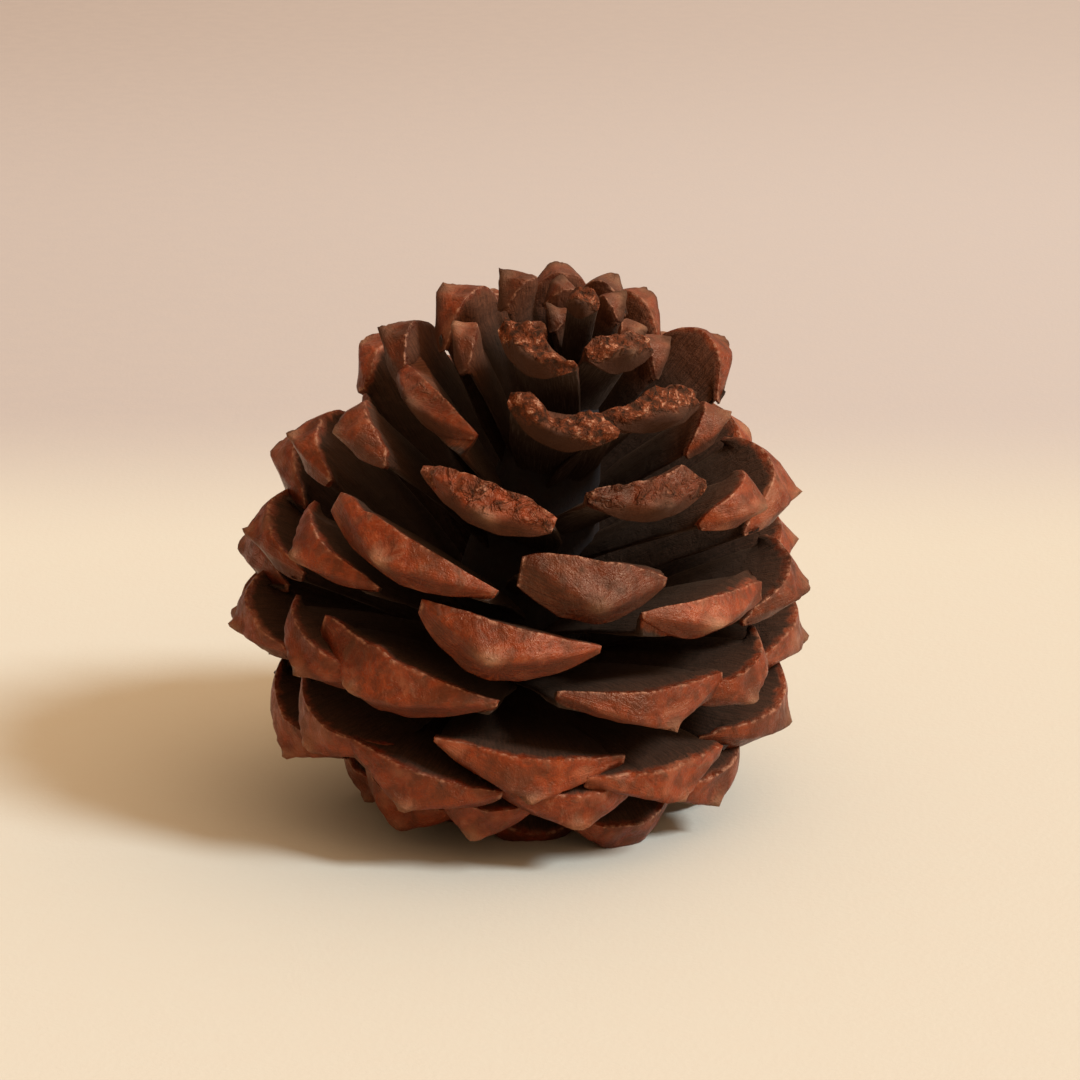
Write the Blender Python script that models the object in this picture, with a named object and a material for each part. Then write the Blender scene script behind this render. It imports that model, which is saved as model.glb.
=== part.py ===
"""Open pine cone lying on its base: a woody axis with seed scales set on a golden-angle spiral."""

import math
import random

import bmesh
import bpy
from mathutils import Matrix, Vector

MM = 0.001

# Scale numbering: 0 faces the viewer, numbers rise towards the tip of the cone
FIRST_SCALE = -60
LAST_SCALE = 36
DIVERGENCE = math.radians(137.51)
SPIN = math.radians(-90.5)

# Lean of the cone from upright, the heading it leans towards, and its roll about its own axis
LEAN = math.radians(24.6)
HEADING = math.radians(-65.2)
ROLL = math.radians(-5.8)

# Outline of the cone through its scale ends: scale number, radius, height (mm)
OUTLINE = (
    (-72, 5.0, -38.2),
    (-60, 12.8, -35.6),
    (-45, 21.8, -29.8),
    (-34, 26.1, -24.6),
    (-24, 27.4, -20.4),
    (-12, 26.9, -14.2),
    (0, 24.6, -5.4),
    (12, 19.4, 4.7),
    (24, 10.6, 14.0),
    (31, 5.6, 17.2),
    (38, 1.8, 18.4),
)

# Size of a scale end along the cone: scale number, width, thickness (mm)
END_SIZE = (
    (-60, 8.5, 3.6),
    (-40, 13.0, 4.6),
    (-15, 17.0, 5.1),
    (0, 16.5, 5.1),
    (12, 12.8, 4.8),
    (22, 9.6, 4.2),
    (31, 5.6, 3.3),
    (38, 3.2, 2.4),
)

# Slopes of a scale: scale number, slope of its face, slope of the tongue behind it (degrees)
SLOPES = (
    (-60, -46.0, -38.0),
    (-40, -24.0, -8.0),
    (-15, 2.0, 22.0),
    (0, 22.0, 40.0),
    (12, 34.0, 52.0),
    (24, 46.0, 66.0),
    (38, 60.0, 80.0),
)

# Scales that grew off the rule: number: turn (degrees), height (mm), width, thickness, twist (degrees)
STRAYS = {
    -58: (0.0, -2.4, 1.0, 1.0, 0.0),
    -34: (-3.0, 0.5, 1.0, 1.0, 0.0),
    -29: (-5.0, 1.4, 1.0, 0.88, 0.0),
    -26: (-4.0, 1.4, 1.0, 1.0, 0.0),
    -24: (-7.0, 1.2, 0.95, 0.85, 0.0),
    -21: (-4.0, -1.2, 1.0, 0.98, 1.0),
    -18: (-7.0, 0.0, 0.89, 1.0, -2.0),
    -16: (-1.5, 2.8, 1.0, 0.85, 0.5),
    -13: (-2.0, -1.0, 1.02, 1.08, 0.0),
    -11: (-6.0, 1.4, 0.95, 0.85, 0.0),
    -10: (-2.0, 1.7, 0.95, 0.85, 0.0),
    -8: (-2.0, 0.4, 1.07, 1.05, 0.5),
    -5: (2.0, -0.2, 1.0, 0.92, -4.5),
    -3: (0.0, 2.6, 0.95, 0.85, 0.5),
    -2: (2.0, 0.2, 0.95, 0.85, 1.0),
    0: (-1.5, 0.8, 0.98, 1.25, -2.0),
    2: (-3.5, 0.6, 0.85, 0.85, 0.0),
    3: (1.0, 0.0, 0.98, 0.9, -10.0),
    5: (-0.5, 1.0, 1.2, 1.0, 2.0),
    8: (-2.3, 0.3, 0.98, 1.3, -7.0),
    10: (-1.5, 1.5, 0.82, 0.9, 0.0),
    11: (1.0, 0.9, 0.9, 0.9, 0.0),
    13: (-3.0, 1.7, 1.09, 1.0, 2.0),
    14: (7.0, 0.2, 0.8, 0.9, 0.0),
    15: (-4.0, 0.0, 0.78, 0.9, 0.0),
    16: (-1.5, 0.2, 1.1, 0.95, -5.5),
    18: (-13.0, -1.0, 1.35, 1.0, 13.0),
    19: (-3.4, -1.0, 0.85, 0.9, 0.0),
    21: (-7.5, 2.1, 1.02, 1.1, -6.0),
    20: (0.0, 0.0, 0.85, 0.9, 0.0),
    23: (-4.0, 1.0, 0.8, 0.9, 0.0),
    24: (-3.7, -0.6, 1.4, 1.0, -11.0),
    26: (0.0, 3.0, 1.1, 1.1, -1.0),
    29: (10.5, 1.7, 1.03, 1.1, -3.0),
    34: (-2.0, 2.7, 1.0, 1.0, 0.0),
}
AS_THE_RULE = (0.0, 0.0, 1.0, 1.0, 0.0)

# Root of a scale in the axis: lowest under its end, highest up the axis, distance from the middle
ROOT_DROP = 19.0 * MM
ROOT_TOP = 12.0 * MM
ROOT_GAP = 1.0 * MM

# Woody axis: height, radius (mm)
AXIS_PROFILE = (
    (-36.0, 0.0),
    (-36.0, 4.6),
    (-33.0, 6.4),
    (-22.0, 7.2),
    (-8.0, 6.0),
    (4.0, 4.0),
    (10.0, 2.4),
    (14.0, 1.4),
    (15.0, 0.0),
)
AXIS_SIDES = 14

# Height of the resting plane under the reference point of the spiral
FLOOR = -35.6 * MM
FLOOR_BLOCK = 200.0 * MM

# Seeded unevenness of the scales
SEED = 11
TURN_SPREAD = math.radians(1.0)
SIZE_SPREAD = 0.05
REACH_SPREAD = 0.4 * MM

# Sections of a scale from root to face, eight points round: across, up
TONGUE_SECTION = (
    (1.0, 0.10),
    (0.55, 0.80),
    (0.0, 1.0),
    (-0.55, 0.80),
    (-1.0, 0.10),
    (-0.55, -0.75),
    (0.0, -1.0),
    (0.55, -0.75),
)
RIM_SECTION = (
    (1.0, 0.74),
    (0.52, 0.95),
    (0.0, 1.0),
    (-0.52, 0.95),
    (-1.0, 0.74),
    (-0.46, -0.30),
    (0.0, -1.0),
    (0.46, -0.30),
)
KEEL_SECTION = (
    (0.62, 0.30),
    (0.34, 0.42),
    (0.0, 0.42),
    (-0.34, 0.42),
    (-0.62, 0.30),
    (-0.28, -0.34),
    (0.0, -0.70),
    (0.28, -0.34),
)
RIM_SETBACK = 1.1 * MM
KEEL_SETBACK = 0.5 * MM
KEEL_RISE = 0.9 * MM
UMBO_RISE = 1.7 * MM
UMBO_DROP = 0.26


def along(rows, number):
    """Values of a table at a scale number, on a smooth curve through its rows."""
    number = min(max(number, rows[0][0]), rows[-1][0])
    index = 0
    while index < len(rows) - 2 and number > rows[index + 1][0]:
        index += 1
    here = rows[index]
    after = rows[index + 1]
    before = rows[max(index - 1, 0)]
    beyond = rows[min(index + 2, len(rows) - 1)]
    span = after[0] - here[0]
    t = (number - here[0]) / span
    values = []
    for k in range(1, len(here)):
        slope_here = (after[k] - before[k]) / (after[0] - before[0]) * span
        slope_after = (beyond[k] - here[k]) / (beyond[0] - here[0]) * span
        values.append(
            (2 * t ** 3 - 3 * t ** 2 + 1) * here[k]
            + (t ** 3 - 2 * t ** 2 + t) * slope_here
            + (-2 * t ** 3 + 3 * t ** 2) * after[k]
            + (t ** 3 - t ** 2) * slope_after
        )
    return values


def make_axis():
    """Turned woody axis of the cone."""
    bm = bmesh.new()
    ends = [bm.verts.new((radius * MM, 0.0, height * MM)) for height, radius in AXIS_PROFILE]
    edges = [bm.edges.new(pair) for pair in zip(ends, ends[1:])]
    bmesh.ops.spin(
        bm,
        geom=ends + edges,
        cent=(0.0, 0.0, 0.0),
        axis=(0.0, 0.0, 1.0),
        angle=math.tau,
        steps=AXIS_SIDES,
        use_merge=True,
    )
    bmesh.ops.remove_doubles(bm, verts=bm.verts, dist=0.00001)
    bmesh.ops.recalc_face_normals(bm, faces=bm.faces)
    mesh = bpy.data.meshes.new("cone")
    bm.to_mesh(mesh)
    bm.free()
    obj = bpy.data.objects.new("cone", mesh)
    bpy.context.scene.collection.objects.link(obj)
    return obj


def make_scale(number, dice, group):
    """One seed scale: a tongue that widens from its sunk root to a keeled, rhombic end."""
    radius, height = [value * MM for value in along(OUTLINE, number)]
    width, thick = [value * MM for value in along(END_SIZE, number)]
    face, slope = [math.radians(value) for value in along(SLOPES, number)]
    radius += dice.uniform(-REACH_SPREAD, REACH_SPREAD)
    width *= 1.0 + dice.uniform(-SIZE_SPREAD, SIZE_SPREAD)
    thick *= 1.0 + dice.uniform(-SIZE_SPREAD, SIZE_SPREAD)
    turn = SPIN + DIVERGENCE * number + dice.uniform(-TURN_SPREAD, TURN_SPREAD)
    twist = dice.uniform(-TURN_SPREAD, TURN_SPREAD) * 1.5

    # What this scale strays from the rule
    turn_by, height_by, width_by, thick_by, twist_by = STRAYS.get(number, AS_THE_RULE)
    turn += math.radians(turn_by)
    height += height_by * MM
    width *= width_by
    thick *= thick_by
    twist += math.radians(twist_by)

    # Directions of the face of the scale end
    outward = Vector((math.cos(turn), math.sin(turn), 0.0))
    across = Vector((-math.sin(turn), math.cos(turn), 0.0))
    upright = Vector((0.0, 0.0, 1.0))
    normal = outward * math.cos(face) + upright * math.sin(face)
    rise = upright * math.cos(face) - outward * math.sin(face)
    face_across = across * math.cos(twist) + rise * math.sin(twist)
    face_rise = rise * math.cos(twist) - across * math.sin(twist)

    # The tongue runs from the scale end to its root in the axis
    middle = outward * radius + upright * height
    root_height = max(height - radius * math.tan(slope), height - ROOT_DROP)
    root = upright * min(root_height, ROOT_TOP)
    back = (root - middle).normalized()
    tongue_rise = across.cross(back).normalized()
    length = (root - middle).length - ROOT_GAP

    # Tongue sections: distance behind the face, half width, half thickness
    half = width / 2.0
    tall = thick / 2.0
    stations = (
        (length, half * 0.34, 0.55 * MM),
        (length * 0.55, half * 0.66, 0.75 * MM),
        (min(length * 0.25, 3.4 * MM), half * 0.90, tall * 0.68),
    )
    bm = bmesh.new()
    rings = []
    for distance, half_width, half_thick in stations:
        centre = middle + back * distance
        rings.append([
            bm.verts.new(centre + across * half_width * a + tongue_rise * half_thick * u)
            for a, u in TONGUE_SECTION
        ])
    for section, lift, setback in (
        (RIM_SECTION, 0.0, RIM_SETBACK),
        (KEEL_SECTION, KEEL_RISE, KEEL_SETBACK),
    ):
        rings.append([
            bm.verts.new(
                middle
                + face_across * half * a
                + face_rise * tall * u
                + normal * (lift - abs(a) * setback)
            )
            for a, u in section
        ])
    for inner, outer in zip(rings, rings[1:]):
        for k in range(8):
            m = (k + 1) % 8
            bm.faces.new((inner[k], inner[m], outer[m], outer[k]))
    umbo = bm.verts.new(middle - face_rise * tall * UMBO_DROP + normal * UMBO_RISE)
    for k in range(8):
        bm.faces.new((rings[-1][k], rings[-1][(k + 1) % 8], umbo))
    bm.faces.new(list(reversed(rings[0])))
    bmesh.ops.recalc_face_normals(bm, faces=bm.faces)
    mesh = bpy.data.meshes.new("scale")
    bm.to_mesh(mesh)
    bm.free()
    group.objects.link(bpy.data.objects.new("scale", mesh))


def fill_hidden_hollows(mesh):
    """Remove the small closed shells and flakes that stay between roots, so the wood is solid there."""
    bm = bmesh.new()
    bm.from_mesh(mesh)
    bmesh.ops.triangulate(bm, faces=bm.faces)
    waiting = set(bm.faces)
    shells = []
    while waiting:
        start = waiting.pop()
        shell = {start}
        search = [start]
        while search:
            for edge in search.pop().edges:
                if len(edge.link_faces) != 2:
                    continue
                for near in edge.link_faces:
                    if near not in shell:
                        shell.add(near)
                        search.append(near)
        waiting -= shell
        shells.append(shell)
    shells.sort(key=len)
    for shell in shells[:-1]:
        bmesh.ops.delete(bm, geom=list(shell), context="FACES")
    bm.to_mesh(mesh)
    bm.free()


def lying_turn():
    """Turn from the upright cone to the way it lies."""
    heading = Matrix.Rotation(HEADING, 4, "Z")
    lean = Matrix.Rotation(LEAN, 4, "Y")
    roll = Matrix.Rotation(ROLL - HEADING, 4, "Z")
    return heading @ lean @ roll


for old in list(bpy.data.objects):
    bpy.data.objects.remove(old, do_unlink=True)

# Axis and scales, each as its own solid
cone = make_axis()
scales = bpy.data.collections.new("scales")
bpy.context.scene.collection.children.link(scales)
dice = random.Random(SEED)
for number in range(FIRST_SCALE, LAST_SCALE + 1):
    make_scale(number, dice, scales)

# Fuse the scales into the axis
fuse = cone.modifiers.new("Fuse", "BOOLEAN")
fuse.operation = "UNION"
fuse.operand_type = "COLLECTION"
fuse.collection = scales
fuse.solver = "MANIFOLD"
bpy.context.view_layer.objects.active = cone
cone.select_set(True)
bpy.ops.object.modifier_apply(modifier=fuse.name)
for helper in list(scales.objects):
    bpy.data.objects.remove(helper, do_unlink=True)
bpy.data.collections.remove(scales)

# Lay the cone as it rests, and flatten the spots that touch the surface
cone.data.transform(lying_turn())
bm = bmesh.new()
bmesh.ops.create_cube(bm, size=FLOOR_BLOCK)
bmesh.ops.translate(bm, vec=(0.0, 0.0, FLOOR - FLOOR_BLOCK / 2.0), verts=bm.verts)
mesh = bpy.data.meshes.new("surface")
bm.to_mesh(mesh)
bm.free()
surface = bpy.data.objects.new("surface", mesh)
bpy.context.scene.collection.objects.link(surface)
flatten = cone.modifiers.new("Flatten", "BOOLEAN")
flatten.operation = "DIFFERENCE"
flatten.object = surface
flatten.solver = "MANIFOLD"
bpy.ops.object.modifier_apply(modifier=flatten.name)
bpy.data.objects.remove(surface, do_unlink=True)
fill_hidden_hollows(cone.data)

# Origin under the middle of the bounding box
xs = [vert.co.x for vert in cone.data.vertices]
ys = [vert.co.y for vert in cone.data.vertices]
under = Vector(((min(xs) + max(xs)) / 2.0, (min(ys) + max(ys)) / 2.0, FLOOR))
cone.data.transform(Matrix.Translation(-under))

wood = bpy.data.materials.new("wood")
wood.use_nodes = True
shader = wood.node_tree.nodes["Principled BSDF"]
shader.inputs["Base Color"].default_value = (0.18, 0.065, 0.03, 1.0)
shader.inputs["Roughness"].default_value = 0.6
cone.data.materials.clear()
cone.data.materials.append(wood)
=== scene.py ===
"""Dressed scene of an open pine cone lying on a plain pale surface."""

import math
import random

import bmesh
import bpy
from mathutils import Matrix, Vector, noise


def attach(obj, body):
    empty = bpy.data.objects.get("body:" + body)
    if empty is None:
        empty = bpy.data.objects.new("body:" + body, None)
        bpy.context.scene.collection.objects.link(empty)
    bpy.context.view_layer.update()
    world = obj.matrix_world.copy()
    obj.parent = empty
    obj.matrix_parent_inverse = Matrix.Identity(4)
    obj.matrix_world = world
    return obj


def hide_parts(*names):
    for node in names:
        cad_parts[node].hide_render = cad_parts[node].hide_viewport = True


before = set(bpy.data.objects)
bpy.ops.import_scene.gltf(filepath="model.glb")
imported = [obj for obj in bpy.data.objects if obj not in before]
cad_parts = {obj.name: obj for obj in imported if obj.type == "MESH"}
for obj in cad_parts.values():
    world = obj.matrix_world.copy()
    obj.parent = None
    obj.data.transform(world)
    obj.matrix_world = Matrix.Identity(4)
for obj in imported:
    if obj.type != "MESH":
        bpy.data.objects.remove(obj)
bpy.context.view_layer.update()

bl_info = {
    "name": "Pine cone",
    "version": (1, 0, 0),
    "blender": (4, 5, 0),
    "location": "3D View > Sidebar > Pine cone",
    "description": "Builds an open pine cone with its seed scales, woody axis and a plain stage",
    "category": "Object",
}

MM = 0.001

# Spiral of the scales: number 0 faces the viewer, numbers rise towards the tip
FIRST_SCALE = -60
LAST_LOWER = -22
LAST_MIDDLE = 9
LAST_SCALE = 36
DIVERGENCE = math.radians(137.51)
SPIN = math.radians(-90.5)
SEED = 11
TURN_SPREAD = math.radians(1.0)
TWIST_SPREAD_BY = 1.5
SIZE_SPREAD = 0.05
REACH_SPREAD = 0.4 * MM
OWN_SEED = 1000

# The way the cone lies, and where the middle of its spiral is in the frame
LEAN = math.radians(24.6)
HEADING = math.radians(-65.2)
ROLL = math.radians(-5.8)
MIDDLE = Vector((3.155, -6.341, 35.6)) * MM

# Outline through the scale ends: number, radius, height (mm)
OUTLINE = (
    (-72, 5.0, -38.2),
    (-60, 12.8, -35.6),
    (-45, 21.8, -29.8),
    (-34, 26.1, -24.6),
    (-24, 27.4, -20.4),
    (-12, 26.9, -14.2),
    (0, 24.6, -5.4),
    (12, 19.4, 4.7),
    (24, 10.6, 14.0),
    (31, 5.6, 17.2),
    (38, 1.8, 18.4),
)

# Size of a scale end: number, width, thickness (mm)
END_SIZE = (
    (-60, 8.5, 3.6),
    (-40, 13.0, 4.6),
    (-15, 17.0, 5.1),
    (0, 16.5, 5.1),
    (12, 12.8, 4.8),
    (22, 9.6, 4.2),
    (31, 5.6, 3.3),
    (38, 3.2, 2.4),
)

# Slope of the face of a scale and of the tongue behind it: number, face, tongue (degrees)
SLOPES = (
    (-60, -46.0, -38.0),
    (-40, -24.0, -8.0),
    (-15, 2.0, 22.0),
    (0, 22.0, 40.0),
    (12, 34.0, 52.0),
    (24, 46.0, 66.0),
    (38, 60.0, 80.0),
)

# Roots: how far below its end a scale's root lies at most, the highest root, and how far short
# of the axis's middle line they stop
ROOT_DROP = 19.0 * MM
ROOT_TOP = 12.0 * MM
ROOT_GAP = 1.0 * MM

# Bend of a tongue: how squarely it sets off from the face, and where the bend is along it
BEND_LIFT = 0.9
BEND_AT = 0.42

# Form of a scale end: number, corner height, roundness underneath, wear of the tip, height of
# the middle of the rim
END_FORM = (
    (-60, 0.60, 2.4, 0.0, 0.90),
    (-12, 0.76, 2.4, 0.0, 0.95),
    (-4, 0.76, 2.0, 0.0, 0.85),
    (6, 0.74, 1.9, 0.05, 1.0),
    (13, 0.50, 2.0, 0.12, 1.0),
    (20, -0.10, 2.2, 0.15, 1.0),
    (30, -0.40, 2.4, 0.20, 1.0),
    (38, -0.40, 2.4, 0.30, 1.0),
)

# Crown scales with worn, corky ends: number: corner height, wear
WORN_ENDS = {
    8: (0.72, 0.10),
    13: (0.62, 0.58),
    16: (0.60, 0.58),
    18: (0.75, 0.38),
    21: (0.60, 1.00),
    24: (0.50, 0.90),
    26: (0.60, 1.00),
    29: (0.45, 0.80),
    34: (0.40, 0.80),
}

# Scales that grew off the rule: number: turn (degrees), height (mm), width, thickness, twist
# (degrees)
STRAYS = {
    -58: (0.0, -2.4, 1.0, 1.0, 0.0),
    -34: (-3.0, 0.5, 1.0, 1.0, 0.0),
    -29: (-5.0, 1.4, 1.0, 0.88, 0.0),
    -26: (-5.0, 1.0, 1.35, 1.1, 0.0),
    -24: (-7.0, 1.2, 0.95, 0.85, 0.0),
    -21: (-4.0, -2.0, 1.0, 1.0, 1.0),
    -18: (-7.0, -0.8, 0.89, 1.0, -2.0),
    -16: (-1.5, 2.8, 1.0, 0.85, 0.5),
    -13: (-2.0, -1.9, 1.02, 0.94, 0.0),
    -11: (-6.0, 1.4, 0.95, 0.85, 0.0),
    -10: (-2.0, 1.7, 0.95, 0.85, 0.0),
    -8: (-2.6, -0.1, 1.07, 1.28, 0.5),
    -5: (2.0, -0.2, 1.0, 0.92, -4.5),
    -3: (0.0, 2.6, 0.95, 0.85, 0.5),
    -2: (2.0, 0.2, 0.95, 0.85, 1.0),
    0: (-1.5, 0.8, 0.98, 1.25, -2.0),
    2: (-3.5, 0.6, 0.85, 0.85, 0.0),
    7: (-3.0, 0.0, 0.9, 1.0, 0.0),
    3: (1.0, 0.0, 0.98, 0.9, -10.0),
    5: (-0.5, 1.0, 1.2, 1.0, 2.0),
    8: (-2.3, 0.3, 0.98, 1.3, -7.0),
    10: (-1.5, 1.5, 0.82, 0.9, 0.0),
    11: (1.0, 0.9, 0.9, 0.9, 0.0),
    13: (-3.0, 1.7, 1.09, 1.0, 2.0),
    14: (10.0, 2.0, 1.0, 1.0, 0.0),
    15: (-4.0, 1.0, 0.9, 0.95, 0.0),
    16: (-1.5, 0.2, 1.1, 0.95, -5.5),
    18: (-19.0, -0.9, 1.40, 0.78, 15.0),
    19: (-3.4, -1.0, 0.85, 0.9, 0.0),
    20: (14.0, 1.2, 1.1, 1.1, 0.0),
    21: (-7.5, 2.1, 1.02, 1.1, -6.0),
    22: (10.0, 0.5, 0.9, 1.0, 0.0),
    23: (-8.0, -0.5, 0.8, 0.85, 0.0),
    24: (-3.7, -0.6, 1.4, 1.0, -11.0),
    26: (0.0, 3.4, 1.1, 1.2, -3.0),
    27: (8.0, -2.6, 0.9, 1.0, 0.0),
    28: (0.0, 1.7, 0.8, 1.2, 0.0),
    29: (10.5, 1.7, 1.03, 1.1, -3.0),
    31: (0.0, -0.8, 0.9, 1.0, 0.0),
    34: (-2.0, 4.0, 0.8, 1.1, 0.0),
    36: (0.0, -1.0, 0.9, 1.0, 0.0),
}
AS_THE_RULE = (0.0, 0.0, 1.0, 1.0, 0.0)

# Inner scales of the crown stand a little higher than the outline: number, height (mm)
RAISED = {25: 0.3, 30: 0.8, 32: 0.2, 35: 0.3}

# Place of the umbo on the nearest scales: number: across, up
UMBOS = {
    0: (-0.14, -0.12),
    8: (0.05, -0.38),
    -13: (0.06, -0.86),
    -5: (0.22, -0.80),
    -8: (-0.40, -0.50),
    3: (-0.15, -0.30),
    -21: (-0.05, -0.62),
    5: (-0.10, -0.35),
    -18: (0.30, -0.60),
}

# Scales whose ends were measured
MEASURED = (-21, -18, -13, -8, -5, 0, 3, 5, 8, 13, 16, 18, 21, 24, 26, 29)

# Share of its thickness that a measured scale keeps, and one on the rule below this number
FULL_THICKNESS = 0.93
FULL_BELOW = 8

# Shares of their width and thickness that the other scales keep
SLENDER = (0.80, 0.88)

# Worn notches of the crown's rims: number, then across, half width and depth of each notch
NOTCHES = {
    21: ((-0.08, 0.40, 0.80),),
    24: ((-0.55, 0.25, 0.30), (0.35, 0.2, 0.15)),
    26: ((0.45, 0.5, 0.65),),
    29: ((0.1, 0.3, 0.25),),
    16: ((-0.25, 0.3, 0.20), (0.62, 0.24, -0.45)),
    8: ((0.08, 0.16, 0.07),),
    5: ((-0.62, 0.10, 0.18),),
    -8: ((-0.25, 0.12, -0.14),),
}

# Height of the cut corners of the nearest scales, in half thicknesses: number: left, right
BLUNT = {
    0: (0.45, 0.20),
    -13: (0.20, 0.40),
    -8: (0.60, 0.20),
    -5: (0.25, 0.80),
    3: (0.30, 0.90),
    5: (0.90, 0.20),
    8: (0.95, 0.25),
    13: (0.35, 0.70),
    -21: (0.45, 0.30),
}

# Scales darker than the others, by their own tone and by painted shade where a scale lies less
# lit: number: share
TONE_AND_PAINTED_SHADE = {
    0: 0.10,
    3: 0.0,
    5: 0.0,
    8: 0.75,
    13: 0.0,
    16: 0.75,
    15: 0.75,
    10: 0.5,
    23: 0.1,
    -5: 0.35,
    -2: 0.45,
    -8: 0.15,
    -13: 0.0,
    -16: 0.35,
    -26: 0.0,
}

# Face of a scale end: how far it is set back, how far its corners bend back at a given half
# width, how round the ends are that weren't measured, and how far the rim rolls in
SET_BACK = 0.4 * MM
WRAP = 2.3 * MM
WRAP_HALF = 8.3 * MM
ROUNDING = 0.50
RIM_ROLL = 0.16 * MM

# Half thickness at which the keel has its full rise, and half width and height of the umbo
KEEL_HALF = 3.0 * MM
UMBO_HALF = (1.15 * MM, 0.7 * MM)

# Tongue: lip behind the face, half thickness of an end whose tongue isn't thinned, half
# thickness of its edges, depth of its ripples
LIP = 1.012
TONGUE_FULL = 2.3 * MM
EDGE_HALF = 0.12 * MM
RIPPLE = 0.12 * MM

# Woody axis: parts round it, depth of its swellings, then height and radius (mm)
AXIS_STEPS = 40
AXIS_WAVE = 0.06
AXIS_PROFILE = (
    (-36.0, 0.0),
    (-36.0, 2.6),
    (-35.6, 3.0),
    (-35.9, 3.6),
    (-35.4, 4.6),
    (-33.0, 6.2),
    (-22.0, 6.9),
    (-8.0, 5.8),
    (4.0, 3.9),
    (10.0, 2.3),
    (14.0, 1.3),
    (14.8, 0.0),
)

# Rings of a tongue, as shares of its length from the face to the root
RINGS = (0.006, 0.02, 0.05, 0.09, 0.14, 0.2, 0.27, 0.36, 0.47, 0.6, 0.74, 0.88, 1.0)

# Grid of a scale's face, across and up, and the hub below its middle that its fibres fan from
FACE_GRID = (26, 10)
FAN_HUB = 0.4

# Marks on the points of the scales, which their material reads
MARKS = (
    "way_back",
    "rim_wear_and_highlight",
    "umbo",
    "upper_side",
    "cork",
    "tint",
    "crown",
    "painted_shade_below_keel",
    "charred",
    "tone_and_painted_shade",
)

# Stains of the scale ends, with painted shade and a partly painted highlight among them
DEEPER = (0.5, 0.42, 0.5, 1.0)
# Painted shade of the facets below the keel
PAINTED_SHADE_LOWER_FACET = (0.62, 0.58, 0.55, 1.0)
DARK_MOTTLE = (0.060, 0.013, 0.004, 1.0)
PALE_MOTTLE = (0.36, 0.11, 0.045, 1.0)
PALE_FLECK = (0.40, 0.19, 0.11, 1.0)
CRACK = (0.022, 0.007, 0.004, 1.0)
DARK_BLOOM = (0.085, 0.013, 0.003, 1.0)
PALE_BLOOM = (0.40, 0.125, 0.055, 1.0)
# Painted shade of the inner crown scales
PAINTED_SHADE_CROWN = (0.050, 0.014, 0.007, 1.0)
PALE_UMBO = (0.42, 0.20, 0.10, 1.0)
SPECK = (0.05, 0.015, 0.008, 1.0)
# Dimming of darker scales: their own tone and painted shade
TONE_AND_PAINTED_SHADE_DIM = (0.20, 0.18, 0.18, 1.0)
# Pale rim: wear, and partly painted highlight
WORN_RIM_AND_HIGHLIGHT = (0.45, 0.19, 0.10, 1.0)

# Stains of the worn tips, the tongues and the axis, with painted shade and painted light among
# them
CHARRED = (0.034, 0.0095, 0.0045, 1.0)
PAINTED_SHADE_CORK = (0.055, 0.012, 0.004, 1.0)
PALE_CORK_AND_HIGHLIGHT = (0.70, 0.32, 0.17, 1.0)
PAINTED_SHADE_CORK_PIT = (0.016, 0.005, 0.002, 1.0)
# Painted shade of the tongues' upper sides
DARK_PAINTED_SHADE_TOP = (0.006, 0.003, 0.002, 1.0)
PALE_PAINTED_SHADE_TOP = (0.020, 0.008, 0.005, 1.0)
PALE_COAL = (0.090, 0.062, 0.050, 1.0)
# Painted light near the front of the tongues' upper sides
DARK_PAINTED_LIT_FRONT = (0.060, 0.016, 0.007, 1.0)
PALE_PAINTED_LIT_FRONT = (0.14, 0.042, 0.018, 1.0)
AXIS_BROWN = (0.030, 0.014, 0.008, 1.0)
AXIS_SPECK = (0.08, 0.04, 0.02, 1.0)

# Sheen of the ends, and roughness of the tongues and the cork
WOOD_SPECULAR = 0.62
WOOD_SHEEN = (1.0, 0.58, 0.34, 1.0)
DULL = 0.96

# Surface: half its side (m), its mottling, gloss, and how much painted shade darkens it far back
# and to the left
SURFACE_HALF = 4.0
SURFACE_MOTTLE = (0.62, 0.48, 0.36, 1.0)
SURFACE_ROUGHNESS = 0.85
SURFACE_SPECULAR = 0.2
PAINTED_SHADE_DIMMING = (0.76, 0.70, 0.65, 1.0)

# Key light: heading from the viewer's right, height, softness, colour
KEY_HEADING = math.radians(-28.0)
KEY_HEIGHT = math.radians(42.0)
KEY_SOFTNESS = math.radians(15.0)
KEY_COLOUR = (0.68, 0.84, 1.0)

# Sky
SKY_BELOW = (0.17, 0.12, 0.085, 1.0)
SKY_ABOVE = (1.50, 1.10, 0.76, 1.0)
SKY_LEFT = (0.28, 0.26, 0.24, 1.0)
SKY_RIGHT = (1.0, 1.0, 1.0, 1.0)

# Camera: sensor width (mm), near limit (m), and where it looks from the middle (mm)
SENSOR_WIDTH = 36.0
CLIP_START = 0.01
AIM_ACROSS = -1.13
AIM_DOWN = 7.61


def along(rows, number):
    """Values of a table at a scale number, on a smooth curve through its rows."""
    number = min(max(number, rows[0][0]), rows[-1][0])
    index = 0
    while index < len(rows) - 2 and number > rows[index + 1][0]:
        index += 1
    here = rows[index]
    after = rows[index + 1]
    before = rows[max(index - 1, 0)]
    beyond = rows[min(index + 2, len(rows) - 1)]
    span = after[0] - here[0]
    t = (number - here[0]) / span
    values = []
    for k in range(1, len(here)):
        slope_here = (after[k] - before[k]) / (after[0] - before[0]) * span
        slope_after = (beyond[k] - here[k]) / (beyond[0] - here[0]) * span
        values.append(
            (2 * t ** 3 - 3 * t ** 2 + 1) * here[k]
            + (t ** 3 - 2 * t ** 2 + t) * slope_here
            + (-2 * t ** 3 + 3 * t ** 2) * after[k]
            + (t ** 3 - t ** 2) * slope_after
        )
    return values


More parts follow.
